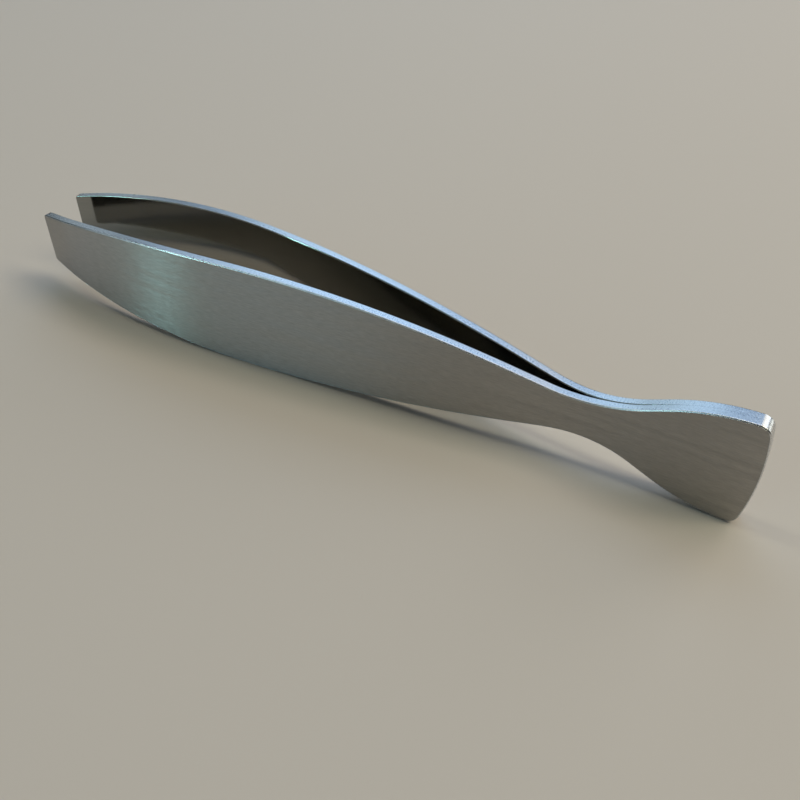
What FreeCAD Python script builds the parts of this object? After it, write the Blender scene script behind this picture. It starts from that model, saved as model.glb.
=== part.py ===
"""Fish-bone tweezers: two bent stainless leaves, spot-welded and ground flush at a flared tail.

Both leaves are the same stamping, one turned over about the long axis. Each is drawn in
its own frame: x runs from the tail end towards the tips, y away from the face that the
two share, and z up from the middle of its width. Where the arm flexes, at the neck, the
leaf is divided, so that the arm is a piece that moves.
"""
import FreeCAD, Part
import math
import os
import Sketcher

doc = FreeCAD.newDocument("FishBoneTweezers")

# Driving dimensions, in millimetres and degrees. A station is measured from the tail end,
# and a reach from the tip.
SIZES = [
    ("overall_length", 120.0),
    ("leaf_thickness", 1.3),
    ("belly_width", 18.0),
    ("belly_reach", 43.3),
    ("tip_width", 8.9),
    ("neck_width", 6.4),
    ("neck_station", 24.9),
    ("neck_arm_radius", 23.2),
    ("arm_straight", 5.9),
    ("neck_tail_radius", 20.8),
    ("tail_width", 18.0),
    ("tail_widest_station", 1.6),
    ("flank_straight", 3.2),
    ("tail_end_radius", 44.0),
    ("tail_corner_radius", 1.8),
    ("crotch_station", 18.0),
    ("flexure_station", 25.8),
    ("opening_radius", 96.0),
    ("opening_angle", 5.2),
    ("bow_reach", 39.0),
    ("bow_radius", 133.0),
    ("land_bend_radius", 35.0),
    ("land_length", 4.5),
    ("land_angle", 12.7),
    ("tip_corner_radius", 0.6),
    ("outer_edge_break", 0.2),
    ("inner_edge_break", 0.12),
    ("trim_margin", 2.0),
]

sheet = doc.addObject("Spreadsheet::Sheet", "Sizes")
for row, (alias, value) in enumerate(SIZES, start=1):
    sheet.set("A%d" % row, alias.replace("_", " "))
    sheet.set("B%d" % row, str(value))
    sheet.setAlias("B%d" % row, alias)
doc.recompute()


def size(alias):
    """A driving dimension as the sheet holds it."""
    return float(getattr(sheet, alias))


# Sketch helpers

START, END, CENTRE = 1, 2, 3
ORIGIN = (-1, 1)
X_AXIS = -1


def sketch_on(body, role, name):
    """A sketch lying on one of the body's own origin planes."""
    sketch = body.newObject("Sketcher::SketchObject", name)
    plane = [f for f in body.Origin.OriginFeatures if f.Role == role][0]
    sketch.AttachmentSupport = [(plane, "")]
    sketch.MapMode = "FlatFace"
    return sketch


def line(sketch, a, b):
    """A straight edge from a to b; returns its number in the sketch."""
    start, end = FreeCAD.Vector(a[0], a[1], 0), FreeCAD.Vector(b[0], b[1], 0)
    return sketch.addGeometry(Part.LineSegment(start, end), False)


def arc(sketch, centre, radius, first, last):
    """A counter-clockwise arc between two directions in degrees; returns its number."""
    circle = Part.Circle(FreeCAD.Vector(centre[0], centre[1], 0), FreeCAD.Vector(0, 0, 1), radius)
    curve = Part.ArcOfCircle(circle, math.radians(first), math.radians(last))
    return sketch.addGeometry(curve, False)


def rule(sketch, kind, *where):
    """A geometric constraint with no size of its own."""
    sketch.addConstraint(Sketcher.Constraint(kind, *where))


def dimension(sketch, name, formula, kind, *where):
    """A named dimension whose value follows the sheet."""
    value = where[-1]
    number = sketch.addConstraint(Sketcher.Constraint(kind, *where[:-1], value))
    sketch.renameConstraint(number, name)
    sketch.setExpression("Constraints." + name, formula)


def join(sketch, a, b):
    """Two ends that meet."""
    rule(sketch, "Coincident", a[0], a[1], b[0], b[1])


def blend(sketch, a, b):
    """Two ends that meet and run on in one direction."""
    rule(sketch, "Tangent", a[0], a[1], b[0], b[1])


# Plan of the leaf, seen from above

def on_arc(centre, radius, direction):
    angle = math.radians(direction)
    return (centre[0] + radius * math.cos(angle), centre[1] + radius * math.sin(angle))


def leaf_plan(body):
    """The bent strip on edge: flat tang, opening bend, straight run, bow, bend and gripping land."""
    sketch = sketch_on(body, "XY_Plane", "LeafPlan")
    thick, length = size("leaf_thickness"), size("overall_length")
    opening, bow, bend = size("opening_radius"), size("bow_radius"), size("land_bend_radius")
    slope, land_slope = size("opening_angle"), size("land_angle")
    sine, cosine = math.sin(math.radians(slope)), math.cos(math.radians(slope))
    land_sine, land_cosine = math.sin(math.radians(land_slope)), math.cos(math.radians(land_slope))

    # the centres of the three bends, and the direction in which the bow meets the land's bend
    opening_centre = (size("crotch_station"), opening)
    straight_start = on_arc(opening_centre, opening, 270.0 + slope)
    bow_start_x = length - size("bow_reach")
    bow_start = (bow_start_x, straight_start[1] + (bow_start_x - straight_start[0]) * sine / cosine)
    bow_centre = (bow_start[0] + bow * sine, bow_start[1] - bow * cosine)
    land_start = length - size("land_length")
    bend_x = land_start - bend * land_sine
    turn = math.asin((bend_x - bow_centre[0]) / (bow - bend))
    bend_centre = (bend_x, bow_centre[1] + (bow - bend) * math.cos(turn))
    meet = 90.0 - math.degrees(turn)
    land = on_arc(bend_centre, bend, 90.0 - land_slope)
    reach = (length - thick * land_sine - land[0]) / land_cosine
    inner_corner = (land[0] + reach * land_cosine, land[1] - reach * land_sine)
    outer_corner = (length, inner_corner[1] + thick * land_cosine)

    # the inner face from the tail end to the tip, then the outer face back again
    inner_tang = line(sketch, (0, 0), (opening_centre[0], 0))
    inner_opening = arc(sketch, opening_centre, opening, 270.0, 270.0 + slope)
    inner_straight = line(sketch, straight_start, bow_start)
    inner_bow = arc(sketch, bow_centre, bow, meet, 90.0 + slope)
    inner_bend = arc(sketch, bend_centre, bend, 90.0 - land_slope, meet)
    inner_land = line(sketch, land, inner_corner)
    tip = line(sketch, inner_corner, outer_corner)
    outer_land = line(sketch, outer_corner, on_arc(bend_centre, bend + thick, 90.0 - land_slope))
    outer_bend = arc(sketch, bend_centre, bend + thick, 90.0 - land_slope, meet)
    outer_bow = arc(sketch, bow_centre, bow + thick, meet, 90.0 + slope)
    outer_start = on_arc(bow_centre, bow + thick, 90.0 + slope)
    outer_straight = line(sketch, outer_start, on_arc(opening_centre, opening - thick, 270.0 + slope))
    outer_opening = arc(sketch, opening_centre, opening - thick, 270.0, 270.0 + slope)
    outer_tang = line(sketch, (opening_centre[0], thick), (0, thick))
    end = line(sketch, (0, thick), (0, 0))

    rule(sketch, "Coincident", inner_tang, START, *ORIGIN)
    rule(sketch, "Horizontal", inner_tang)
    blend(sketch, (inner_tang, END), (inner_opening, START))
    blend(sketch, (inner_opening, END), (inner_straight, START))
    blend(sketch, (inner_straight, END), (inner_bow, END))
    blend(sketch, (inner_bow, START), (inner_bend, END))
    blend(sketch, (inner_bend, START), (inner_land, START))
    join(sketch, (inner_land, END), (tip, START))
    join(sketch, (tip, END), (outer_land, START))
    blend(sketch, (outer_land, END), (outer_bend, START))
    blend(sketch, (outer_bend, END), (outer_bow, START))
    blend(sketch, (outer_bow, END), (outer_straight, START))
    blend(sketch, (outer_straight, END), (outer_opening, END))
    blend(sketch, (outer_opening, START), (outer_tang, START))
    join(sketch, (outer_tang, END), (end, START))
    join(sketch, (end, END), (inner_tang, START))
    rule(sketch, "Vertical", end)
    rule(sketch, "Horizontal", outer_tang)
    rule(sketch, "Coincident", outer_opening, CENTRE, inner_opening, CENTRE)
    rule(sketch, "Coincident", outer_bow, CENTRE, inner_bow, CENTRE)
    rule(sketch, "Coincident", outer_bend, CENTRE, inner_bend, CENTRE)
    rule(sketch, "Perpendicular", tip, inner_land)
    rule(sketch, "Parallel", outer_land, inner_land)
    rule(sketch, "Parallel", outer_straight, inner_straight)

    dimension(sketch, "crotch", "Sizes.crotch_station", "Distance", inner_tang, opening_centre[0])
    dimension(sketch, "opening", "Sizes.opening_radius", "Radius", inner_opening, opening)
    dimension(sketch, "slope", "Sizes.opening_angle * 1 deg", "Angle",
              X_AXIS, START, inner_straight, START, math.radians(slope))
    dimension(sketch, "bow_start", "Sizes.overall_length - Sizes.bow_reach", "DistanceX",
              *ORIGIN, inner_straight, END, bow_start[0])
    dimension(sketch, "bow", "Sizes.bow_radius", "Radius", inner_bow, bow)
    dimension(sketch, "bend", "Sizes.land_bend_radius", "Radius", inner_bend, bend)
    dimension(sketch, "land_start", "Sizes.overall_length - Sizes.land_length", "DistanceX",
              *ORIGIN, inner_land, START, land[0])
    dimension(sketch, "land_slope", "Sizes.land_angle * 1 deg", "Angle",
              inner_land, START, X_AXIS, START, math.radians(land_slope))
    dimension(sketch, "reach", "Sizes.overall_length", "DistanceX", *ORIGIN, tip, END, length)
    dimension(sketch, "thickness", "Sizes.leaf_thickness", "Distance", tip, thick)
    return sketch


# Side outline of the leaf

def crest_to_hollow(run, rise, straight):
    """Slope in degrees of the straight between a crest and a hollow, and their two radii added."""
    slope = 2 * math.atan(rise / (run + straight))
    return math.degrees(slope), (run - straight * math.cos(slope)) / math.sin(slope)


def inner_touch(end, end_radius, flank, flank_radius, corner):
    """Centre of a corner circle that touches an end circle and a flank circle from inside."""
    from_end, from_flank = end_radius - corner, flank_radius - corner
    apart = math.hypot(flank[0] - end[0], flank[1] - end[1])
    along = (from_end ** 2 - from_flank ** 2 + apart ** 2) / (2 * apart)
    aside = math.sqrt(from_end ** 2 - along ** 2)
    ux, uy = (flank[0] - end[0]) / apart, (flank[1] - end[1]) / apart
    return (end[0] + along * ux + aside * uy, end[1] + along * uy - aside * ux)


def direction(a, b):
    """Direction in degrees from a to b."""
    return math.degrees(math.atan2(b[1] - a[1], b[0] - a[0]))


def place_point(sketch, name, station, height, point, at):
    """Fixes a point by its station and its height."""
    dimension(sketch, name + "_station", station, "DistanceX", *ORIGIN, *point, at[0])
    dimension(sketch, name + "_height", height, "DistanceY", *ORIGIN, *point, at[1])


def guide_point(sketch, curve, name, station, height, at):
    """A point that a curve, or its continuation, passes through."""
    point = sketch.addGeometry(Part.Point(FreeCAD.Vector(at[0], at[1], 0)), True)
    rule(sketch, "PointOnObject", point, START, curve)
    place_point(sketch, name, station, height, (point, START), at)
    return point


def waste_outline(body):
    """All that lies above the upper half of the side outline, drawn as the area to trim away."""
    sketch = sketch_on(body, "XZ_Plane", "WasteOutline")
    length, margin = size("overall_length"), size("trim_margin")
    half_tail, half_neck = size("tail_width") / 2, size("neck_width") / 2
    half_belly, half_tip = size("belly_width") / 2, size("tip_width") / 2
    widest, neck = size("tail_widest_station"), size("neck_station")
    belly_station = length - size("belly_reach")
    fall, rise = size("neck_tail_radius"), size("neck_arm_radius")
    end_radius, corner = size("tail_end_radius"), size("tail_corner_radius")

    # the straights fix the two slopes, and the slopes fix the arcs of the flank and the belly
    flank_run, arm_run = size("flank_straight"), size("arm_straight")
    flank_slope, flank_reach = crest_to_hollow(neck - widest, half_tail - half_neck, flank_run)
    arm_slope, arm_reach = crest_to_hollow(belly_station - neck, half_belly - half_neck, arm_run)
    flank, belly = flank_reach - fall, arm_reach - rise
    flank_centre = (widest, half_tail - flank)
    fall_centre = (neck, half_neck + fall)
    rise_centre = (neck, half_neck + rise)
    belly_centre = (belly_station, half_belly - belly)
    taper = (size("belly_reach") ** 2 + (half_belly - half_tip) ** 2) / (2 * (half_belly - half_tip))
    taper_centre = (belly_station, half_belly - taper)
    end_centre = (end_radius, 0)
    corner_centre = inner_touch(end_centre, end_radius, flank_centre, flank, corner)
    end_top = direction(end_centre, corner_centre)
    corner_low = direction(flank_centre, corner_centre)
    past_tip = length + margin
    taper_end = math.degrees(math.acos((past_tip - belly_station) / taper))
    top = max(half_tail, half_belly) + margin

    end_arc = arc(sketch, end_centre, end_radius, end_top, 180.0)
    corner_arc = arc(sketch, corner_centre, corner, corner_low, end_top)
    flank_arc = arc(sketch, flank_centre, flank, 90.0 - flank_slope, corner_low)
    flank_low = on_arc(flank_centre, flank, 90.0 - flank_slope)
    flank_line = line(sketch, flank_low, on_arc(fall_centre, fall, 270.0 - flank_slope))
    fall_arc = arc(sketch, fall_centre, fall, 270.0 - flank_slope, 270.0)
    rise_arc = arc(sketch, rise_centre, rise, 270.0, 270.0 + arm_slope)
    rise_top = on_arc(rise_centre, rise, 270.0 + arm_slope)
    arm_line = line(sketch, rise_top, on_arc(belly_centre, belly, 90.0 + arm_slope))
    belly_arc = arc(sketch, belly_centre, belly, 90.0, 90.0 + arm_slope)
    taper_arc = arc(sketch, taper_centre, taper, taper_end, 90.0)
    right = line(sketch, on_arc(taper_centre, taper, taper_end), (past_tip, top))
    over = line(sketch, (past_tip, top), (-margin, top))
    left = line(sketch, (-margin, top), (-margin, 0))
    foot = line(sketch, (-margin, 0), (0, 0))

    blend(sketch, (end_arc, START), (corner_arc, END))
    blend(sketch, (corner_arc, START), (flank_arc, END))
    blend(sketch, (flank_arc, START), (flank_line, START))
    blend(sketch, (flank_line, END), (fall_arc, START))
    blend(sketch, (fall_arc, END), (rise_arc, START))
    blend(sketch, (rise_arc, END), (arm_line, START))
    blend(sketch, (arm_line, END), (belly_arc, END))
    blend(sketch, (belly_arc, START), (taper_arc, END))
    join(sketch, (taper_arc, START), (right, START))
    join(sketch, (right, END), (over, START))
    join(sketch, (over, END), (left, START))
    join(sketch, (left, END), (foot, START))
    join(sketch, (foot, END), (end_arc, END))
    rule(sketch, "Vertical", right)
    rule(sketch, "Horizontal", over)
    rule(sketch, "Vertical", left)
    rule(sketch, "Horizontal", foot)
    rule(sketch, "Coincident", end_arc, END, *ORIGIN)
    rule(sketch, "PointOnObject", end_arc, CENTRE, X_AXIS)

    dimension(sketch, "end_radius", "Sizes.tail_end_radius", "Radius", end_arc, end_radius)
    dimension(sketch, "corner", "Sizes.tail_corner_radius", "Radius", corner_arc, corner)
    dimension(sketch, "fall", "Sizes.neck_tail_radius", "Radius", fall_arc, fall)
    dimension(sketch, "rise", "Sizes.neck_arm_radius", "Radius", rise_arc, rise)
    dimension(sketch, "flank_straight", "Sizes.flank_straight", "Distance", flank_line, flank_run)
    dimension(sketch, "arm_straight", "Sizes.arm_straight", "Distance", arm_line, arm_run)
    crest = guide_point(sketch, flank_arc, "flank", "Sizes.tail_widest_station",
                        "Sizes.tail_width / 2", (widest, half_tail))
    rule(sketch, "Vertical", crest, START, flank_arc, CENTRE)
    place_point(sketch, "belly", "Sizes.overall_length - Sizes.belly_reach",
                "Sizes.belly_width / 2", (belly_arc, START), (belly_station, half_belly))
    rule(sketch, "Vertical", belly_arc, START, belly_arc, CENTRE)
    guide_point(sketch, taper_arc, "tip", "Sizes.overall_length", "Sizes.tip_width / 2",
                (length, half_tip))
    dimension(sketch, "neck", "Sizes.neck_station", "DistanceX", *ORIGIN, fall_arc, END, neck)
    dimension(sketch, "neck_half", "Sizes.neck_width / 2", "DistanceY", *ORIGIN, fall_arc, END, half_neck)
    dimension(sketch, "hollow", "Sizes.neck_station", "DistanceX", *ORIGIN, fall_arc, CENTRE, neck)
    dimension(sketch, "past_tip", "Sizes.overall_length + Sizes.trim_margin", "DistanceX",
              *ORIGIN, taper_arc, START, past_tip)
    dimension(sketch, "top", "max(Sizes.tail_width; Sizes.belly_width) / 2 + Sizes.trim_margin",
              "DistanceY", *ORIGIN, over, START, top)
    dimension(sketch, "behind", "Sizes.trim_margin", "DistanceX", over, END, *ORIGIN, margin)
    return sketch


# Edges that are rounded or broken

def normal_at_middle(face):
    u0, u1, v0, v1 = face.ParameterRange
    return face.normalAt((u0 + u1) / 2, (v0 + v1) / 2)


def edge_names(shape, wanted):
    """Names of the edges whose two faces, by their normals, pass the test."""
    names = []
    for number, edge in enumerate(shape.Edges, start=1):
        faces = shape.ancestorsOfType(edge, Part.Face)
        if len(faces) == 2:
            a, b = normal_at_middle(faces[0]), normal_at_middle(faces[1])
            if wanted(a, b) or wanted(b, a):
                names.append("Edge%d" % number)
    return names


def is_upright(normal):
    return abs(normal.z) < 0.01


def is_trimmed(normal):
    """A narrow face left by trimming the strip to its outline."""
    return abs(normal.y) < 0.01


def tip_corner(a, b):
    return is_upright(a) and a.x > 0.8 and is_trimmed(b)


def outer_rim(a, b):
    return is_upright(a) and a.y > 0.8 and (is_trimmed(b) or b.x > 0.8)


def inner_rim(a, b):
    return is_upright(a) and a.y < -0.8 and (is_trimmed(b) or b.x > 0.8)


def dress_edges(body, base, kind, name, size_property, alias, wanted):
    """A fillet or a chamfer on the edges that pass the test, sized by one cell of the sheet."""
    names = edge_names(base.Shape, wanted)
    if not names:
        raise RuntimeError("no edges found for " + name)
    feature = body.newObject("PartDesign::" + kind, name)
    feature.setExpression(size_property, "Sizes." + alias)
    # a closed rim may fail from one starting edge and hold from another
    for first in range(len(names)):
        feature.Base = (base, names[first:] + names[:first])
        doc.recompute()
        if "Invalid" not in feature.State:
            return feature
    raise RuntimeError(name + " holds from no starting edge")


def trim_through(body, name, sketch):
    """Takes away what lies inside a sketch, right through the body both ways."""
    doc.recompute()
    before = body.Tip.Shape.Volume
    pocket = body.newObject("PartDesign::Pocket", name)
    pocket.Profile = sketch
    pocket.Type = "ThroughAll"
    pocket.Midplane = True
    doc.recompute()
    if pocket.Shape.Volume > 0.99 * before:
        raise RuntimeError(name + " cut nothing")
    return pocket


# One leaf, divided where it flexes

def make_leaf(body):
    """The whole leaf: the bent strip at full width, trimmed to its outline, rim broken outside."""
    strip = body.newObject("PartDesign::Pad", "Strip")
    strip.Profile = leaf_plan(body)
    strip.Midplane = True
    strip.setExpression("Length", "max(Sizes.tail_width; Sizes.belly_width) + Sizes.trim_margin")
    doc.recompute()
    upper = trim_through(body, "TrimUpper", waste_outline(body))
    both = body.newObject("PartDesign::Mirrored", "TrimBoth")
    both.Originals = [upper]
    middle = [f for f in body.Origin.OriginFeatures if f.Role == "XY_Plane"][0]
    both.MirrorPlane = (middle, [""])
    body.Tip = both
    doc.recompute()
    if both.Shape.Volume > 0.99 * upper.Shape.Volume:
        raise RuntimeError("the trim below the outline cut nothing")
    corners = dress_edges(body, both, "Fillet", "TipCorners", "Radius", "tip_corner_radius", tip_corner)
    return dress_edges(body, corners, "Chamfer", "OuterRim", "Size", "outer_edge_break", outer_rim)


def beyond_flexure(body, piece):
    """What is cut off at the flexure: the arm's side from the tail, or the tail's side from the arm."""
    sketch = sketch_on(body, "XY_Plane", "BeyondFlexure")
    crotch, radius, margin = size("crotch_station"), size("opening_radius"), size("trim_margin")
    sine = (size("flexure_station") - crotch) / radius
    cosine = math.sqrt(1 - sine ** 2)
    low = (crotch + (radius + margin) * sine, radius - (radius + margin) * cosine)
    high = (crotch + radius / 2 * sine, radius - radius / 2 * cosine)
    side = size("overall_length") + margin if piece == "tail" else -margin

    cut = line(sketch, low, high)
    top = line(sketch, high, (side, high[1]))
    away = line(sketch, (side, high[1]), (side, low[1]))
    bottom = line(sketch, (side, low[1]), low)
    join(sketch, (cut, END), (top, START))
    join(sketch, (top, END), (away, START))
    join(sketch, (away, END), (bottom, START))
    join(sketch, (bottom, END), (cut, START))
    rule(sketch, "Horizontal", top)
    rule(sketch, "Vertical", away)
    rule(sketch, "Horizontal", bottom)

    sine_formula = "(Sizes.flexure_station - Sizes.crotch_station) / Sizes.opening_radius"
    cosine_formula = "sqrt(1 - (" + sine_formula + ") ^ 2)"
    low_x = "Sizes.crotch_station + (Sizes.opening_radius + Sizes.trim_margin) * " + sine_formula
    low_y = "(Sizes.opening_radius + Sizes.trim_margin) * " + cosine_formula + " - Sizes.opening_radius"
    high_x = "Sizes.crotch_station + Sizes.opening_radius / 2 * " + sine_formula
    high_y = "Sizes.opening_radius - Sizes.opening_radius / 2 * " + cosine_formula
    dimension(sketch, "low_x", low_x, "DistanceX", *ORIGIN, cut, START, low[0])
    dimension(sketch, "low_y", low_y, "DistanceY", cut, START, *ORIGIN, -low[1])
    dimension(sketch, "high_x", high_x, "DistanceX", *ORIGIN, cut, END, high[0])
    dimension(sketch, "high_y", high_y, "DistanceY", *ORIGIN, cut, END, high[1])
    if piece == "tail":
        dimension(sketch, "side", "Sizes.overall_length + Sizes.trim_margin", "DistanceX",
                  *ORIGIN, away, START, side)
    else:
        dimension(sketch, "side", "Sizes.trim_margin", "DistanceX", away, START, *ORIGIN, -side)
    return sketch


# A leaf's frame starts at the tail end and is turned about one of its axes
TURNED_ABOUT = {"near": FreeCAD.Vector(0, 0, 1), "far": FreeCAD.Vector(0, 1, 0)}


def make_piece(leaf, piece):
    """One piece of a leaf, standing on its long edges with the mid-length over the origin."""
    body = doc.addObject("PartDesign::Body", leaf.capitalize() + piece.capitalize())
    body.Label = leaf + "_" + piece
    body.Placement = FreeCAD.Placement(FreeCAD.Vector(0, 0, 0), FreeCAD.Rotation(TURNED_ABOUT[leaf], 180))
    body.setExpression("Placement.Base.x", "Sizes.overall_length / 2")
    body.setExpression("Placement.Base.z", "max(Sizes.tail_width; Sizes.belly_width) / 2")
    doc.recompute()
    leaf_shape = make_leaf(body)
    if piece == "arm":
        dress_edges(body, leaf_shape, "Chamfer", "InnerRim", "Size", "inner_edge_break", inner_rim)
    body.Tip = trim_through(body, "CutAtFlexure", beyond_flexure(body, piece))
    return body


bodies = [make_piece(leaf, piece) for leaf in ("near", "far") for piece in ("tail", "arm")]
doc.recompute()

# Nothing is written unless every feature and every shape is sound
for item in doc.Objects:
    if "Invalid" in item.State or "Error" in item.State:
        raise RuntimeError("%s failed: %s %s" % (item.Name, item.State, item.getStatusString()))
for body in bodies:
    if body.Shape.isNull() or not body.Shape.isValid() or len(body.Shape.Solids) != 1:
        raise RuntimeError(body.Label + " is not one sound solid")

os.makedirs("parts", exist_ok=True)
for body in bodies:
    body.Shape.exportStep("parts/" + body.Label + ".step")
    box = body.Shape.BoundBox
    spans = (box.XMin, box.XMax, box.YMin, box.YMax, box.ZMin, box.ZMax)
    print("%-10s %8.1f mm3" % (body.Label, body.Shape.Volume),
          " x %7.2f..%6.2f  y %6.2f..%5.2f  z %5.2f..%5.2f" % spans)
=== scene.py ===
# %% [markdown]
# # Loading the frame
# The solids come from an imported model.
# The whole box of the solids is measured at once, before anything is added to the scene, so that
# nothing built later can stand outside it. Measuring it later would measure the new pieces too.

import math

import bpy
import numpy as np
from mathutils import Matrix, Vector


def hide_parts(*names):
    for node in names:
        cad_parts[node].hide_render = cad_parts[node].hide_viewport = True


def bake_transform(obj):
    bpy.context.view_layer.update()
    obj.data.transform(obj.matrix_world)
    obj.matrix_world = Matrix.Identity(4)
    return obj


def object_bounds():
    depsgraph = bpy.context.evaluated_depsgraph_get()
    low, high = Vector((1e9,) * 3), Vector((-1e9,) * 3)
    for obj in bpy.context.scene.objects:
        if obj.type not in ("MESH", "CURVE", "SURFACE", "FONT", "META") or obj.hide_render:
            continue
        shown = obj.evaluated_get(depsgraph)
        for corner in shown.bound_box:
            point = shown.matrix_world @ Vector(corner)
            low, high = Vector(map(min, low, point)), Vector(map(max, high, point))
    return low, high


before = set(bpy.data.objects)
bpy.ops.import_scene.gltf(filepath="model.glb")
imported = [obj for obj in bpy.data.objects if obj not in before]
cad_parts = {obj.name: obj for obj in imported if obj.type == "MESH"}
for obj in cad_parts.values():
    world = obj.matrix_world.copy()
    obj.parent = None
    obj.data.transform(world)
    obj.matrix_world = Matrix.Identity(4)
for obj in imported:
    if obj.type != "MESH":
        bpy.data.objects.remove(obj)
frame_box = [list(corner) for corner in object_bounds()]

# %% [markdown]
# # Fish-bone tweezers in brushed steel
# The real tool is two leaves of stainless strip, bent, laid back to back and joined at a flared
# tail. The joint can't be seen. It is taken to be spot-welded and ground flush, as is usual. The
# leaves stand here on their long edges. The frame that was just loaded holds the exact solids.
# They are cut at the neck, where the leaf flexes, so this lesson builds each leaf anew as one
# unbroken skin. All lengths below are in metres. A station is the distance from the tail's end
# to a place.

# %% Sizes of a leaf
MM = 0.001
length = 120.0 * MM
thickness = 1.3 * MM
mid_height = 9.0 * MM
print("a leaf is %.0f mm long and %.1f mm thick" % (length / MM, thickness / MM))

# %% [markdown]
# ## The bend of the strip
# Seen from above, a leaf is one line: a flat tang, a gentle opening bend, a straight run, a long
# bow and a short land that turns in to grip. A spline through a few points would wobble in the
# reflections, so the line is worked out from plain arcs, as strip is usually bent. In front of
# the crotch a hairline runs on between the two tangs and closes towards the tail, where no seam
# shows, so the inner faces leave each other a few hundredths of a millimetre there.

# %% The line of the inner face
opening_bend, bow, grip_bend = 96.0 * MM, 133.0 * MM, 35.0 * MM
slope, grip_slope = math.radians(5.2), math.radians(12.7)
crotch, bow_start, grip_start = 18.0 * MM, 81.0 * MM, 115.5 * MM


def bend_run(centre, radius, first, last, steps):
    """Stations, heights and slopes along a bend; a hump has a negative radius."""
    a = np.linspace(first, last, steps)
    return centre[0] + radius * np.sin(a), centre[1] - radius * np.cos(a), a


straight_from = (crotch + opening_bend * math.sin(slope), opening_bend * (1 - math.cos(slope)))
bow_height = straight_from[1] + (bow_start - straight_from[0]) * math.tan(slope)
bow_centre = (bow_start + bow * math.sin(slope), bow_height - bow * math.cos(slope))
grip_centre_x = grip_start - grip_bend * math.sin(grip_slope)
turn = math.asin((grip_centre_x - bow_centre[0]) / (bow - grip_bend))
grip_centre = (grip_centre_x, bow_centre[1] + (bow - grip_bend) * math.cos(turn))
land_height = grip_centre[1] + grip_bend * math.cos(grip_slope)
land_run = length - thickness * math.sin(grip_slope) - grip_start

tang_x = np.linspace(-MM, crotch - 0.05 * MM, 60)
tang = (tang_x, 0 * tang_x, 0 * tang_x)
land = ([grip_start + land_run], [land_height - land_run * math.tan(grip_slope)], [-grip_slope])
runs = [
    tang,
    bend_run((crotch, opening_bend), opening_bend, 0.0, slope, 40),
    bend_run(bow_centre, -bow, slope, -turn, 200),
    bend_run(grip_centre, -grip_bend, -turn, -grip_slope, 30),
    land,
]
inner_x, inner_y, inner_slope = (np.concatenate([run[k] for run in runs]) for k in range(3))
outer_x = inner_x - thickness * np.sin(inner_slope)
outer_y = inner_y + thickness * np.cos(inner_slope)
hairline_depth, hairline_end = 0.06 * MM, 10 * MM
hairline = hairline_depth * np.clip((inner_x - hairline_end) / (crotch - hairline_end), 0, 1) ** 1.5
inner_y = np.maximum(inner_y, hairline)
print("gap at the tips %.2f mm, widest %.2f mm" % (2e3 * inner_y[-1], 2e3 * inner_y.max()))

# %% [markdown]
# ## The outline of the strip
# Seen from the side, the leaf has a belly, a slender neck and a flared tail whose end is a
# shallow arc with rounded corners. It could be traced by eye, but a cutting tool is usually made
# of plain arcs, and arcs fit this outline, so half the width at any station comes from them.

# %% Half the width at a station
belly_half, neck_half, tail_half, tip_half = 9.0 * MM, 3.2 * MM, 9.0 * MM, 4.45 * MM
belly_at, neck_at, flank_at = 76.7 * MM, 24.9 * MM, 1.6 * MM
rise_arc, fall_arc, arm_straight, flank_straight = 23.2 * MM, 20.8 * MM, 5.9 * MM, 3.2 * MM
end_arc, tail_corner, tip_corner = 44.0 * MM, 1.8 * MM, 0.6 * MM


def lean_and_reach(run, rise, straight):
    """Slope of the straight between a crest and a hollow, and the sum of their two radii."""
    lean = 2 * math.atan(rise / (run + straight))
    return lean, (run - straight * math.cos(lean)) / math.sin(lean)


arm_lean, reach = lean_and_reach(belly_at - neck_at, belly_half - neck_half, arm_straight)
belly_arc = reach - rise_arc
flank_lean, reach = lean_and_reach(neck_at - flank_at, tail_half - neck_half, flank_straight)
flank_arc = reach - fall_arc
taper_run, taper_fall = length - belly_at, belly_half - tip_half
taper_arc = (taper_run**2 + taper_fall**2) / (2 * taper_fall)


def crest_to_hollow(x, lean, crest_x, crest_y, crest_r, hollow_x, hollow_y, hollow_r):
    """Height at x between the arcs of a crest and of a hollow, with a straight line between."""
    run, away = abs(hollow_x - crest_x), np.abs(x - crest_x)
    crest_end, hollow_end = crest_r * math.sin(lean), run - hollow_r * math.sin(lean)
    on_crest = crest_y - crest_r + np.sqrt(np.maximum(crest_r**2 - away**2, 0))
    on_hollow = hollow_y + hollow_r - np.sqrt(np.maximum(hollow_r**2 - (run - away) ** 2, 0))
    on_line = crest_y - crest_r * (1 - math.cos(lean)) - (away - crest_end) * math.tan(lean)
    return np.where(away < crest_end, on_crest, np.where(away > hollow_end, on_hollow, on_line))


def half_width(x):
    """Half the width of the leaf, before its corners are rounded."""
    x = np.asarray(x, float)
    tail_side = crest_to_hollow(x, flank_lean, flank_at, tail_half, flank_arc,
                                neck_at, neck_half, fall_arc)
    arm_side = crest_to_hollow(x, arm_lean, belly_at, belly_half, belly_arc,
                               neck_at, neck_half, rise_arc)
    taper = belly_half - taper_arc + np.sqrt(taper_arc**2 - (x - belly_at) ** 2)
    return np.where(x < neck_at, tail_side, np.where(x < belly_at, arm_side, taper))


print("arcs in mm:", np.round(np.array([flank_arc, belly_arc, taper_arc]) / MM, 1))
print("half widths in mm", np.round(1e3 * half_width([0.0016, 0.0249, 0.0767, 0.12]), 2))

# %% [markdown]
# ## Half the outline as one dense line
# The corners of the tail and of the tip are small arcs that touch their neighbours. The tail's
# corner circle touches the end's circle and the flank's circle from inside, which fixes its
# centre. Half the outline is then one line from the middle of the tail to the middle of the tip.

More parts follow.
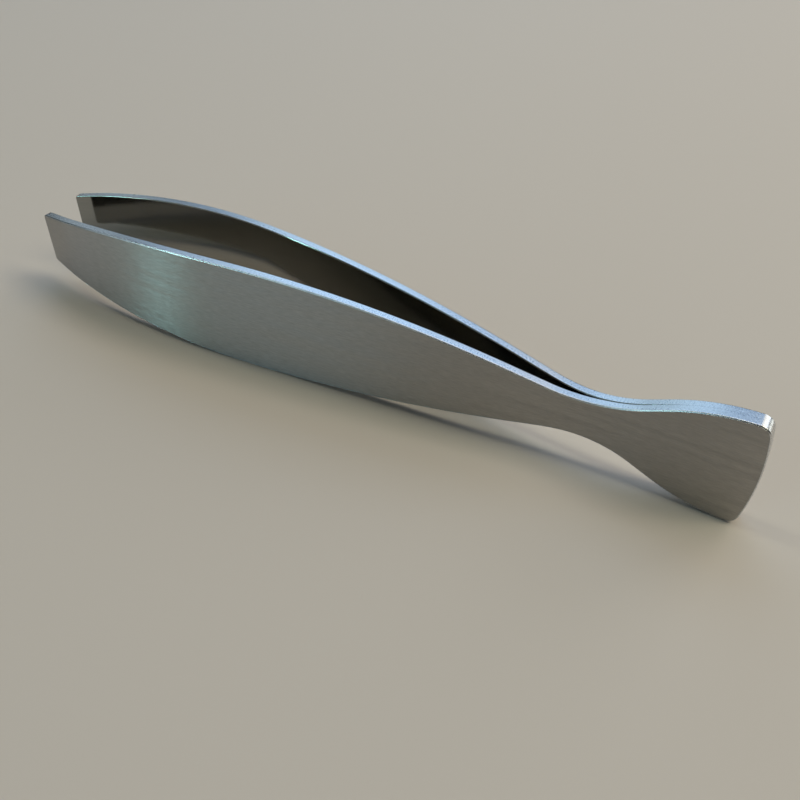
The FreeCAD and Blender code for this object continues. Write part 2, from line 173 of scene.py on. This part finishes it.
# %% From the middle of the tail to the middle of the tip
between = (flank_at - end_arc, tail_half - flank_arc)
apart = math.hypot(*between)
along = ((end_arc - tail_corner) ** 2 - (flank_arc - tail_corner) ** 2 + apart**2) / (2 * apart)
aside = math.sqrt((end_arc - tail_corner) ** 2 - along**2)
corner_at = (end_arc + (along * between[0] + aside * between[1]) / apart,
             (along * between[1] - aside * between[0]) / apart)
corner_from = math.atan2(corner_at[1], corner_at[0] - end_arc)
corner_to = math.atan2(corner_at[1] - between[1], corner_at[0] - flank_at)
tip_lean = math.asin((length - tip_corner - belly_at) / (taper_arc - tip_corner))
tip_at = (length - tip_corner,
          belly_half - taper_arc + (taper_arc - tip_corner) * math.cos(tip_lean))


def round_run(centre, radius, first, last, steps):
    a = np.linspace(first, last, steps)
    return np.column_stack([centre[0] + radius * np.cos(a), centre[1] + radius * np.sin(a)])


tail_end = round_run((end_arc, 0.0), end_arc, math.pi, corner_from, 80)
tail_round = round_run(corner_at, tail_corner, corner_from, corner_to, 81)
tip_round = round_run(tip_at, tip_corner, math.pi / 2 - tip_lean, 0.0, 81)
side_x = np.linspace(tail_round[-1, 0], tip_round[0, 0], 5000)[1:-1]
side = np.column_stack([side_x, half_width(side_x)])
tip_end = np.array([[length, 0.0]])
half_outline = np.vstack([tail_end[:-1], tail_round, side, tip_round, tip_end])
walked = np.concatenate([[0], np.cumsum(np.hypot(*np.diff(half_outline, axis=0).T))])
tail_mid = walked[len(tail_end) - 1 + 40]
tip_mid = walked[len(tail_end) - 1 + 81 + len(side) + 40]
print("half the outline is %.1f mm long" % (1e3 * walked[-1]))

# %% [markdown]
# ## A grid that follows the outline
# A skin of quads shades best when its lines run with the metal's grain. The grid has lines along
# the leaf and lines across it. Its first and last rows follow the curved ends, and that curve
# fades out over a few millimetres. Rows and columns crowd together where corners are round.

# %% Rows and columns of the grid
lengthways, across = 420, 24
share = np.sin(np.linspace(-math.pi / 2, math.pi / 2, across + 1))
march = np.linspace(0, 1, lengthways + 1)
march = march - 0.8 * np.sin(2 * math.pi * march) / (2 * math.pi)
direction = np.gradient(half_outline, walked, axis=0)
direction /= np.hypot(*direction.T)[:, None]


def on_outline(at):
    """Points and outward directions at distances walked along the half outline."""
    point = np.column_stack([np.interp(at, walked, half_outline[:, k]) for k in (0, 1)])
    ahead = np.column_stack([np.interp(at, walked, direction[:, k]) for k in (0, 1)])
    return point, np.column_stack([-ahead[:, 1], ahead[:, 0]])


def end_row(middle, edge):
    """The row along a curved end, from the lower corner's middle to the upper one's."""
    inside = (walked >= min(middle, edge)) & (walked <= max(middle, edge))
    heights, steps = half_outline[inside, 1], walked[inside]
    order = np.argsort(heights)
    top = np.interp(edge, walked, half_outline[:, 1])
    point, outward = on_outline(np.interp(np.abs(share) * top, heights[order], steps[order]))
    sign = np.where(share < 0, -1.0, 1.0)
    mirrored = np.column_stack([np.ones_like(sign), sign])
    return point * mirrored, outward * mirrored


side_point, side_out = on_outline(tail_mid + (tip_mid - tail_mid) * march)
tail_point, tail_out = end_row(0.0, tail_mid)
tip_point, tip_out = end_row(walked[-1], tip_mid)
tail_reach, tip_reach = 5 * MM, 3 * MM
tail_fade = np.clip(1 - (side_point[:, 0] - side_point[0, 0]) / tail_reach, 0, 1) ** 2
tip_fade = np.clip(1 - (side_point[-1, 0] - side_point[:, 0]) / tip_reach, 0, 1) ** 2


def plan_grid(inset):
    """Stations and heights of the grid whose border lies that far inside the outline."""
    edge = side_point - inset * side_out
    tail, tip = tail_point - inset * tail_out, tip_point - inset * tip_out
    grid = np.empty((lengthways + 1, across + 1, 2))
    grid[..., 0] = edge[:, :1]
    grid[..., 1] = edge[:, 1:] * share
    grid += tail_fade[:, None, None] * (tail - grid[0])
    grid += tip_fade[:, None, None] * (tip - grid[-1])
    return grid


print("grid of", lengthways, "by", across, "faces")

# %% [markdown]
# ## From the grid to the bent sheet
# Both faces of a leaf use that grid. A point goes to the inner or the outer face by its station
# alone, because the strip bends only one way. The tip is cut square to the land, so the inner
# face stops a little short of the outer one, and its last rows are drawn back.

# %% Both faces of the bent sheet
UP = np.array([0.0, 0.0, 1.0])


def slope_at(x):
    return np.interp(x, inner_x, inner_slope)


def on_face(plan, outer):
    """Points of the outer or the inner face over a plan of stations and heights."""
    x, z = plan[..., 0], plan[..., 1]
    if outer:
        return np.stack([x, np.interp(x, outer_x, outer_y), z], axis=-1)
    drawn_back = thickness * math.sin(grip_slope) * np.clip((x - length + MM) / MM, 0, 1)
    x = x - drawn_back
    return np.stack([x, np.interp(x, inner_x, inner_y), z], axis=-1)


print("the tip's inner edge lies %.2f mm back" % (thickness * math.sin(grip_slope) / MM))


# %% [markdown]
# ## The worn edges
# The edges look polished, and they catch the brightest light of the whole tool. A bevel modifier
# would need clean sharp edges and could not change its width along the leaf. Here each rim is
# swept as a quarter circle instead, and the wall joins the two rims. Where the leaves are joined
# the inner rim fades away, because no groove shows there. Further on the inner rim gets the
# finish of the inside, whose darker tone is painted shade of the gap between the leaves, so it
# shows no bright line.

# %% A rim of quarter circles
outer_round, inner_round, flush_round = 0.2 * MM, 0.12 * MM, 0.01 * MM
rim_steps, wall_rows = 5, (0.03, 0.5, 0.97)


def border(grid):
    """The border of a grid as one loop: up the tail, along the top, down the tip, back below."""
    return np.concatenate([grid[0], grid[1:, -1], grid[-1, -2::-1], grid[-2:0:-1, 0]])


def border_of_rows(side_rows, tail_row, tip_row):
    """The same loop for vectors that are known only on the border."""
    mirrored = side_rows * np.array([1.0, -1.0])
    return np.concatenate([tail_row, side_rows[1:], tip_row[-2::-1], mirrored[-2:0:-1]])


def rim(points, plan_out, outer, radius):
    """Rings of a rounded rim, from the face to the wall."""
    a = slope_at(points[:, 0])
    ahead = np.column_stack([np.cos(a), np.sin(a), np.zeros_like(a)])
    face = np.column_stack([-np.sin(a), np.cos(a), np.zeros_like(a)]) * (1 if outer else -1)
    out = plan_out[:, :1] * ahead + plan_out[:, 1:] * UP
    radius = radius[:, None]
    return [points - radius * (face + out) + radius * (math.cos(t) * face + math.sin(t) * out)
            for t in np.linspace(0, math.pi / 2, rim_steps + 1)]


print("rims in mm:", round(outer_round / MM, 3), round(inner_round / MM, 3))


# %% [markdown]
# ## Sewing the skin
# The two rims and the wall between them are rings of points, from the outer face to the inner
# one. Each ring has as many points as the border of a grid, so the next steps can join all of
# them into one closed mesh without a search for neighbours.

# %% Rings of points from face to face
loop_out = border_of_rows(side_out, tail_out, tip_out)
loop_plan = border_of_rows(side_point, tail_point, tip_point)
joined_to, apart_from = 11 * MM, 24 * MM


def leaf_rings():
    """Every ring of points from the outer face's border to the inner face's border."""
    fade = np.clip((loop_plan[:, 0] - joined_to) / (apart_from - joined_to), 0, 1)
    inner_radius = flush_round + (inner_round - flush_round) * fade
    outer_radius = np.full(len(loop_plan), outer_round)
    outer = rim(on_face(loop_plan, True), loop_out, True, outer_radius)
    inner = rim(on_face(loop_plan, False), loop_out, False, inner_radius)
    wall = [outer[-1] + (inner[-1] - outer[-1]) * k for k in wall_rows]
    return outer + wall + inner[::-1]


rings = leaf_rings()
print(len(rings), "rings of", len(rings[0]), "points")

# %% [markdown]
# ## The points of a leaf
# A mesh is a list of points and a list of faces that name points by number. The two grids could
# be added as pieces of their own and merged later, but a merge may join too much or too little at
# a rim this small. Here the borders of the grids are the first and the last ring, so the skin is
# closed from the start.

# %% Points of both faces and of the rings
def leaf_points():
    """All points of a leaf, and for each ring the numbers of its points."""
    flush, parted = plan_grid(flush_round), plan_grid(inner_round)
    share_in = np.interp(parted[..., 0], [joined_to, apart_from], [0, 1])[..., None]
    points = [on_face(plan_grid(outer_round), True).reshape(-1, 3),
              on_face(flush * (1 - share_in) + parted * share_in, False).reshape(-1, 3)]
    count = len(points[0])
    loop = border(np.arange(count).reshape(lengthways + 1, across + 1))
    points[0][loop], points[1][loop] = rings[0], rings[-1]
    ring_ids = [loop]
    for k, ring in enumerate(rings[1:-1]):
        ring_ids.append(2 * count + k * len(loop) + np.arange(len(loop)))
        points.append(ring)
    return np.vstack(points), ring_ids + [count + loop]


own_points, ring_ids = leaf_points()
print(len(own_points), "points")

# %% [markdown]
# ## The faces of a leaf
# Every face is a quad, because quads in rows shade evenly on a long bend. The outer grid, the
# inner grid turned over and one strip between each two rings make the whole skin. The finish of
# each face follows from its place: brushed outside, polished on the edges, and smooth inside and
# on the inner rim, where painted shade makes it darker.

# %% Quads and their finish
def leaf_quads():
    """All quads: the outer face, the inner face, then a strip between each two rings."""
    i, j = np.meshgrid(np.arange(lengthways), np.arange(across), indexing="ij")
    corner = (i * (across + 1) + j).ravel()
    far = corner + across + 1
    outer = np.column_stack([corner, far, far + 1, corner + 1])
    inner = (lengthways + 1) * (across + 1) + outer[:, ::-1]
    strips = [np.column_stack([a, b, np.roll(b, -1), np.roll(a, -1)])
              for a, b in zip(ring_ids, ring_ids[1:])]
    return np.vstack([outer, inner] + strips)


quads = leaf_quads()
face_count, loop_count = 2 * lengthways * across, len(rings[0])
# The smooth slot's darker tone is painted shade of the gap between the leaves, and the inner rim
# keeps that slot.
brushed_slot, polished_slot, smooth_shaded_slot = 0, 1, 2
finish = np.full(len(quads), smooth_shaded_slot)
finish[:face_count // 2] = brushed_slot
finish[face_count:len(quads) - rim_steps * loop_count] = polished_slot
print(len(quads), "quads, of which polished:", int((finish == polished_slot).sum()))

# %% [markdown]
# ## The grain map
# An unwrap by the usual tools would turn the grain this way and that. The map is worked out
# instead: on the faces it is the height and the length, and on the edges the depth and the way
# round. So its first axis runs across the grain everywhere, and one unit is a millimetre.

# %% A map in millimetres
def grain_of(points):
    """The map's two numbers for each corner of each quad."""
    grain = np.empty((len(quads), 4, 2))
    grain[:face_count] = points[quads[:face_count]][..., [2, 0]]
    steps = np.linalg.norm(np.roll(rings[0], -1, axis=0) - rings[0], axis=1)
    around = np.concatenate([[0], np.cumsum(steps)])
    top = loop_count // 4
    deep = np.cumsum([0] + [np.linalg.norm((b - a)[top]) for a, b in zip(rings, rings[1:])])
    for k in range(len(rings) - 1):
        part = slice(face_count + k * loop_count, face_count + (k + 1) * loop_count)
        grain[part, :, 0] = [deep[k], deep[k + 1], deep[k + 1], deep[k]]
        grain[part, :, 1] = np.column_stack([around[:-1], around[:-1], around[1:], around[1:]])
    return grain / MM


print("one way round the edge is %.0f mm" % (np.ptp(grain_of(own_points)[face_count:, :, 1])))

# %% [markdown]
# ## Two leaves from one plan
# Both leaves look alike, one turned over against the other. A mirrored copy would turn its faces
# inside out, so each leaf is placed by a turn: the near one about one axis, the far one about
# another. A last clip takes off rounding errors beyond the box of the solids.

# %% Making a leaf
def leaf_skin(name, to_frame):
    """Builds a leaf; to_frame turns its own stations, depths and heights into the frame."""
    points = np.clip(to_frame(own_points), *frame_box)
    mesh = bpy.data.meshes.new(name)
    mesh.from_pydata(points.tolist(), [], quads.tolist())
    mesh.uv_layers.new(name="grain").data.foreach_set("uv", grain_of(points).ravel())
    mesh.polygons.foreach_set("material_index", finish)
    mesh.shade_smooth()
    mesh.update()
    leaf = bpy.data.objects.new(name, mesh)
    bpy.context.scene.collection.objects.link(leaf)
    print(name, "needed mending:", mesh.validate())
    return leaf


def near_side(p):
    return np.column_stack([length / 2 - p[:, 0], -p[:, 1], mid_height + p[:, 2]])


def far_side(p):
    return np.column_stack([length / 2 - p[:, 0], p[:, 1], mid_height - p[:, 2]])


near_leaf = leaf_skin("near_leaf", near_side)
far_leaf = leaf_skin("far_leaf", far_side)

# %% [markdown]
# ## Brushed stainless steel
# The faces look brushed along the leaf, as by an abrasive belt. Each scratch is a tiny groove, so
# light is thrown wide across the grain and hardly at all along it. The shader does that by
# stretching its highlight along the map's first axis. Streaks of noise, drawn out along the
# grain, add what the eye reads as brushing: small changes of tone, of gloss and of height.

# %% Helpers for node materials
def new_material(name):
    material = bpy.data.materials.new(name)
    material.use_nodes = True
    material.node_tree.nodes.clear()
    return material, material.node_tree.nodes, material.node_tree.links


def streaks(nodes, links, source, across_per_mm, along_per_mm, detail, seed):
    """Noise drawn out along the grain; returns its output from 0 to 1."""
    stretch = nodes.new("ShaderNodeMapping")
    stretch.inputs["Scale"].default_value = (across_per_mm, along_per_mm, 1)
    stretch.inputs["Location"].default_value = (seed, seed * 1.7, seed)
    links.new(source, stretch.inputs["Vector"])
    noise = nodes.new("ShaderNodeTexNoise")
    noise.inputs["Scale"].default_value = 1.0
    noise.inputs["Detail"].default_value = detail
    noise.inputs["Roughness"].default_value = 0.6
    links.new(stretch.outputs["Vector"], noise.inputs["Vector"])
    return noise.outputs["Fac"]


def ramp(nodes, links, source, low, high, at=(0.3, 0.7)):
    """Turns a value into a colour or a grey between two ends."""
    node = nodes.new("ShaderNodeValToRGB")
    node.color_ramp.elements[0].position, node.color_ramp.elements[1].position = at
    node.color_ramp.elements[0].color = (*low, 1)
    node.color_ramp.elements[1].color = (*high, 1)
    links.new(source, node.inputs["Fac"])
    return node.outputs["Color"]


def bump(nodes, links, height, strength, distance, onto=None):
    node = nodes.new("ShaderNodeBump")
    node.inputs["Strength"].default_value = strength
    node.inputs["Distance"].default_value = distance
    links.new(height, node.inputs["Height"])
    if onto:
        links.new(onto, node.inputs["Normal"])
    return node.outputs["Normal"]


print("helpers for noise, ramps and bumps are ready")

# %% [markdown]
# ## Three finishes of the same steel
# The outer faces are brushed, the edges are polished and the inside is smooth, and darker by
# painted shade of the narrow gap between the leaves. Three separate materials could be drawn, but
# it is one steel, so one recipe makes all three from its tones, its gloss, the stretch of its
# highlight and the size and depth of its strokes.

# %% One recipe for brushed, polished and smooth steel
nick_depth = 0.025 * MM


def brushed_steel(name, dark, light, gloss, stretch, strokes, depth, tilt, seed):
    """Steel brushed along the second axis of the grain map."""
    material, nodes, links = new_material(name)
    grain_map = nodes.new("ShaderNodeUVMap")
    grain_map.uv_map = "grain"
    across_grain = nodes.new("ShaderNodeTangent")
    across_grain.direction_type = "UV_MAP"
    across_grain.uv_map = "grain"
    fine = streaks(nodes, links, grain_map.outputs["UV"], *strokes, 5, seed)
    broad = streaks(nodes, links, grain_map.outputs["UV"], 1.2, 0.03, 2, seed + 5)
    steel = nodes.new("ShaderNodeBsdfPrincipled")
    steel.inputs["Metallic"].default_value = 1.0
    steel.inputs["Anisotropic"].default_value = stretch
    links.new(across_grain.outputs["Tangent"], steel.inputs["Tangent"])
    links.new(ramp(nodes, links, fine, dark, light), steel.inputs["Base Color"])
    mixed = nodes.new("ShaderNodeMix")
    links.new(fine, mixed.inputs["A"])
    links.new(broad, mixed.inputs["B"])
    glossy, dull = ((value,) * 3 for value in gloss)
    rough = ramp(nodes, links, mixed.outputs["Result"], glossy, dull, (0.4, 0.6))
    links.new(rough, steel.inputs["Roughness"])
    nick_size = (strokes[0], 1.6 * strokes[1])
    nicks = streaks(nodes, links, grain_map.outputs["UV"], *nick_size, 1, seed + 9)
    grooves = bump(nodes, links, fine, 1.0, depth)
    links.new(bump(nodes, links, nicks, tilt, nick_depth, grooves), steel.inputs["Normal"])
    out = nodes.new("ShaderNodeOutputMaterial")
    links.new(steel.outputs["BSDF"], out.inputs["Surface"])
    return material


face_finish = brushed_steel(
    "brushed_steel", dark=(0.365, 0.36, 0.355), light=(0.485, 0.475, 0.46), gloss=(0.275, 0.335),
    stretch=1.0, strokes=(5, 0.6), depth=0.014 * MM, tilt=0.9, seed=0)
edge_finish = brushed_steel(
    "polished_edge", dark=(0.56, 0.57, 0.58), light=(0.82, 0.83, 0.84), gloss=(0.26, 0.34),
    stretch=0.3, strokes=(3, 4), depth=0.003 * MM, tilt=0.15, seed=20)
# The inside's darker tones are painted shade of the gap between the leaves; its low roughness is a
# real smoother finish.
shaded_inner_finish = brushed_steel(
    "smooth_steel_painted_shade", dark=(0.28, 0.28, 0.265), light=(0.32, 0.32, 0.305), gloss=(0.06, 0.09),
    stretch=0.2, strokes=(5, 0.3), depth=0.002 * MM, tilt=0.03, seed=40)
for leaf in (near_leaf, far_leaf):
    for finish in (face_finish, edge_finish, shaded_inner_finish):
        leaf.data.materials.append(finish)
print("finishes", [m.name for m in near_leaf.data.materials])

# %% [markdown]
# ## Hiding the frame's parts
# The tail stays still and each arm turns about its neck, where the real leaf bends. Here the
# frame's own tail and arm of each side are hidden, and each leaf's placement is baked into its
# points.

# %% Hide each side's tail and arm, and bake each leaf's placement
for leaf, side_name in ((near_leaf, "near"), (far_leaf, "far")):
    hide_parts(side_name + "_tail", side_name + "_arm")
    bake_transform(leaf)

# %% [markdown]
# ## The floor
# The tool stands on a plain pale floor, so that nothing but the steel draws the eye. Brushed
# steel mirrors whatever lies in front of it, so the floor is dull and a little warm, and it
# reaches far beyond the picture. One large face is enough for that.

# %% Floor
floor_mesh = bpy.data.meshes.new("floor")
reach = 2.0
corners = [(-reach, -reach, 0), (reach, -reach, 0), (reach, reach, 0), (-reach, reach, 0)]
floor_mesh.from_pydata(corners, [], [(0, 1, 2, 3)])
floor = bpy.data.objects.new("floor", floor_mesh)
bpy.context.scene.collection.objects.link(floor)
floor_finish, nodes, links = new_material("pale_floor")
paint = nodes.new("ShaderNodeBsdfPrincipled")
paint.inputs["Base Color"].default_value = (0.675, 0.60, 0.528, 1)
paint.inputs["Roughness"].default_value = 0.7
paint.inputs["Specular IOR Level"].default_value = 0.2
out = nodes.new("ShaderNodeOutputMaterial")
links.new(paint.outputs["BSDF"], out.inputs["Surface"])
floor_mesh.materials.append(floor_finish)
print("floor %.0f m wide" % (2 * reach))

# %% [markdown]
# ## Soft light
# Steel shows what stands round it more than it shows light. Lamps could be set out by hand until
# the picture looks right, but a mirror image is a matter of directions, so each soft panel here
# is named and placed by the patch of sky that it fills. The low ones in front give the near leaf
# its even grey. One of them is a tall narrow strip, which the grain spreads into a band across
# the bow, and it is kept off the floor, where it would only tint the shadow. The long thin panel
# overhead draws the fine shadow line under the leaf. The bluish ones behind are what the top
# edges mirror, and the low ones on the right whiten the rounded corner of the tail.

# %% Soft panels
def soft_panel(name, sideways, over, radiance):
    """A panel 1 m away that fills a patch of the sky; angles are in degrees."""
    low, high = (math.radians(v) for v in sideways)
    first, last = (math.radians(v) for v in over)
    b, f = (low + high) / 2, (first + last) / 2
    away = Vector((math.sin(b), -math.cos(b) * math.cos(f), math.cos(b) * math.sin(f)))
    side = Vector((math.cos(b), math.sin(b) * math.cos(f), -math.sin(b) * math.sin(f)))
    top = away.cross(side)
    data = bpy.data.lights.new(name, "AREA")
    data.shape = "RECTANGLE"
    data.size = 2 * math.tan((high - low) / 2)
    data.size_y = 2 * math.cos(b) * math.tan((last - first) / 2)
    data.energy = math.pi * data.size * data.size_y * max(radiance)
    data.color = [v / max(radiance) for v in radiance]
    lamp = bpy.data.objects.new(name, data)
    place = away + Vector((-0.01, 0, mid_height))
    lamp.matrix_world = Matrix([[side[k], top[k], away[k], place[k]]
                                for k in range(3)] + [[0, 0, 0, 1]])
    bpy.context.scene.collection.objects.link(lamp)
    return lamp


panels = [
    ("band_strip", (-39.0, -36.6), (8, 50), (8.0, 16.0, 16.5)),
    ("front_left", (-60, -40), (5, 45), (0.50, 0.62, 0.73)),
    ("front_mid", (-30, -13), (5, 45), (0.53, 0.93, 1.17)),
    ("overhead", (-50, 30), (87, 93), (4.1, 4.2, 3.5)),
    ("high_mid", (-10, 30), (100, 115), (1.3, 1.2, 1.4)),
    ("high_right", (26, 50), (93, 115), (6.3, 6.0, 4.6)),
    ("back_left", (-45, -30), (115, 140), (0.76, 1.08, 1.48)),
    ("back_mid", (-30, 10), (115, 140), (0.69, 1.03, 1.50)),
    ("back_right", (10, 30), (115, 140), (1.1, 0.9, 0.6)),
    ("back_low", (-35, -10), (140, 175), (0.50, 0.71, 0.88)),
    ("left_back", (-60, -50), (90, 175), (0.33, 0.41, 0.47)),
    ("right_low", (36, 50), (168, 180), (3.0, 3.1, 2.9)),
    ("right_back", (10, 36), (141, 168), (1.9, 2.05, 2.2)),
]
lamps = {panel[0]: soft_panel(*panel) for panel in panels}
lamps["band_strip"].visible_diffuse = False
print(len(lamps), "panels")
world = bpy.data.worlds.new("room")
bpy.context.scene.world = world
world.use_nodes = True
background = world.node_tree.nodes["Background"]
background.inputs["Color"].default_value = (0.8, 0.85, 0.9, 1)
background.inputs["Strength"].default_value = 0.03

# %% [markdown]
# ## The camera
# The view is from close by, about 14 cm from the middle of the tool, in front of the tail and
# above it, so the tips look smaller than the tail. A lens set by eye would miss such a strong
# foreshortening. The place and the angles were worked out by fitting the edges of both leaves.

# %% Camera
yaw, pitch, roll = -0.4871433, 0.7443495, 0.0223408
camera_at = np.array([55.092, -90.959, 92.844]) * MM
forward = np.array([math.sin(yaw) * math.cos(pitch), math.cos(yaw) * math.cos(pitch),
                    -math.sin(pitch)])
level = np.array([math.cos(yaw), -math.sin(yaw), 0.0])
upward = np.cross(level, forward)
right = math.cos(roll) * level + math.sin(roll) * upward
top = -math.sin(roll) * level + math.cos(roll) * upward
lens_data = bpy.data.cameras.new("camera")
lens_data.sensor_width = 36.0
lens_data.lens = lens_data.sensor_width * 883.885 / 800
lens_data.clip_start, lens_data.clip_end = 0.005, 10.0
camera = bpy.data.objects.new("camera", lens_data)
bpy.context.scene.collection.objects.link(camera)
camera.matrix_world = Matrix([[right[k], top[k], -forward[k], camera_at[k]]
                              for k in range(3)] + [[0, 0, 0, 1]])
bpy.context.scene.camera = camera
bpy.context.scene.view_settings.view_transform = "Standard"
print("lens %.1f mm" % lens_data.lens)

# %% [markdown]
# ## The box of the solids
# A lesson like this one is easily a little larger than the solids that it dresses. The box of
# the solids is printed here.

# %% Print the box of the solids, and finish
print("frame ", np.round(1e3 * np.array(frame_box), 2).tolist())
